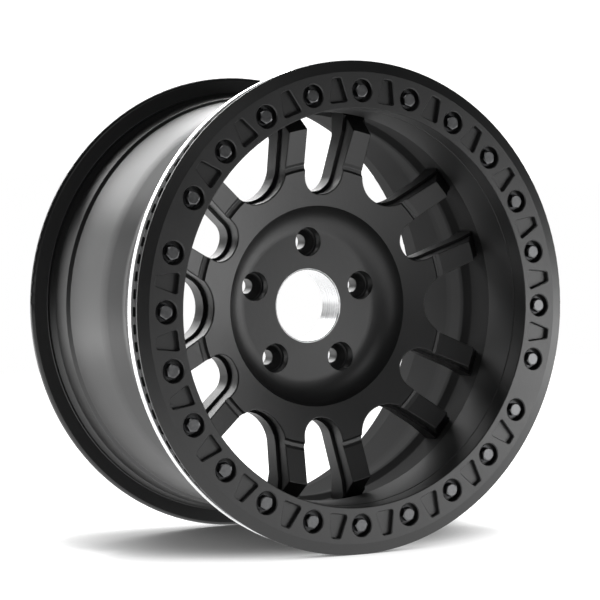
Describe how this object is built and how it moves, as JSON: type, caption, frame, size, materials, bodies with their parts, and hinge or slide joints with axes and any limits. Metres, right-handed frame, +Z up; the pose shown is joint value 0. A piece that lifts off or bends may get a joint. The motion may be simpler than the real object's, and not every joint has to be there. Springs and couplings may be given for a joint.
{
  "type": "beadlock wheel",
  "caption": "Black cast off-road wheel with a bolted clamp ring that holds the tyre's outer bead, paired spokes, a deep dish and an open hub bore.",
  "frame": {"origin": "centre of the wheel, on its spin axis, half way across its overall width", "axes": "+Y along the spin axis towards the vehicle, the street side faces -Y, +Z up"},
  "size_m": [0.472, 0.256, 0.472],
  "materials": {
    "wheel_coat": "satin black powder coat on cast aluminium, bare on the flange and in the bore",
    "ring_coat": "satin black powder coat",
    "bolt_steel": "dark zinc plated steel",
    "washer_steel": "dark plated steel",
    "insert_steel": "plain steel"
  },
  "bodies": {
    "root": {"wheel_body": "wheel_coat", "beadlock_ring": "ring_coat", "ring_bolts": "bolt_steel", "ring_bolt_washers": "washer_steel", "thread_inserts": "insert_steel"}
  },
  "joints": []
}
